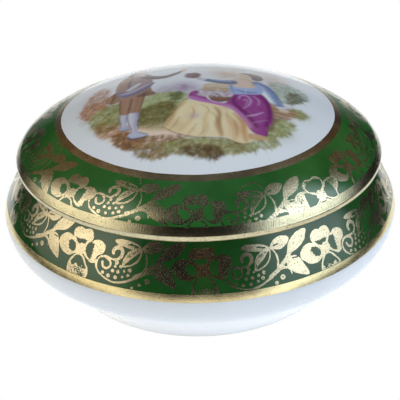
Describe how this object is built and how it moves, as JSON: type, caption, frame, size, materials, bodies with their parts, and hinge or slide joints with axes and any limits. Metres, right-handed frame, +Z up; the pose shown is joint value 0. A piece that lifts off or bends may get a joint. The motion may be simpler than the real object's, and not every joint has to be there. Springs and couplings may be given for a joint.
{
  "type": "porcelain trinket box",
  "caption": "Round squat porcelain trinket box: a waisted bowl on a foot ring, and a domed lift-off lid with a gilt roll rim.",
  "frame": {"origin": "centre of the foot ring, on the plane of the table", "axes": "+Z up along the axis that both pieces are turned about; -Y is the front, the side that the picture on the lid is read from; +X is to its right"},
  "size_m": [0.11, 0.11, 0.0533],
  "materials": {
    "porcelain": "clear gloss glaze over white porcelain",
    "green_ground": "gloss enamel",
    "gilt": "burnished gilding with fine wear",
    "picture": "painted enamel under gloss glaze"
  },
  "bodies": {
    "bowl": {"bowl": "porcelain"},
    "lid": {"lid": "porcelain"}
  },
  "joints": [
    {"name": "lid_lift", "type": "slide", "parent": "bowl", "child": "lid", "axis": [0, 0, 1], "range_m": [0, 0.06]}
  ]
}
